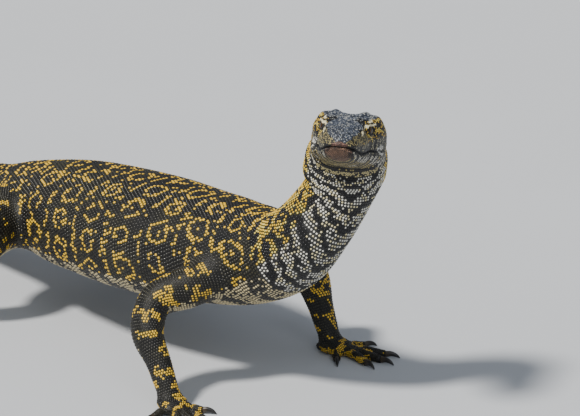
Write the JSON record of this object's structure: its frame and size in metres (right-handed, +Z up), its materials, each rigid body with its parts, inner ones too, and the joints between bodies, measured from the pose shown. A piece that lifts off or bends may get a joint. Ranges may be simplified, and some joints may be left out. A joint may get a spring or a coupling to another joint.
{
  "type": "water monitor lizard model",
  "caption": "Life-size still model of a water monitor lizard standing on all fours, its head raised and turned aside and its tail along the floor.",
  "frame": {"origin": "floor level, under the middle of the model's bounding box", "axes": "+Z up; the trunk runs along Y with the head end towards -Y and the tail towards +Y; the animal's left is +X"},
  "size_m": [0.334, 1.2761, 0.2582],
  "materials": {
    "skin_dark": "scaly hide, dark grey-brown, slightly glossy",
    "skin_back": "scaly hide, dark olive brown, slightly glossy",
    "eye": "polished, very dark brown",
    "horn": "satin, near black"
  },
  "bodies": {
    "root": {"head": "skin_dark", "lower_jaw": "skin_dark", "neck": "skin_back", "torso": "skin_back", "tail_base": "skin_back", "tail_front": "skin_back", "tail_middle": "skin_back", "tail_tip": "skin_back", "front_left_upper_leg": "skin_dark", "front_left_lower_leg": "skin_dark", "front_left_foot": "skin_dark", "front_left_claw_1": "horn", "front_left_claw_2": "horn", "front_left_claw_3": "horn", "front_left_claw_4": "horn", "front_left_claw_5": "horn", "front_right_upper_leg": "skin_dark", "front_right_lower_leg": "skin_dark", "front_right_foot": "skin_dark", "front_right_claw_1": "horn", "front_right_claw_2": "horn", "front_right_claw_3": "horn", "front_right_claw_4": "horn", "front_right_claw_5": "horn", "hind_left_upper_leg": "skin_dark", "hind_left_lower_leg": "skin_dark", "hind_left_foot": "skin_dark", "hind_left_claw_1": "horn", "hind_left_claw_2": "horn", "hind_left_claw_3": "horn", "hind_left_claw_4": "horn", "hind_left_claw_5": "horn", "hind_right_upper_leg": "skin_dark", "hind_right_lower_leg": "skin_dark", "hind_right_foot": "skin_dark", "hind_right_claw_1": "horn", "hind_right_claw_2": "horn", "hind_right_claw_3": "horn", "hind_right_claw_4": "horn", "hind_right_claw_5": "horn", "eye_left": "eye", "eye_right": "eye"}
  },
  "joints": []
}
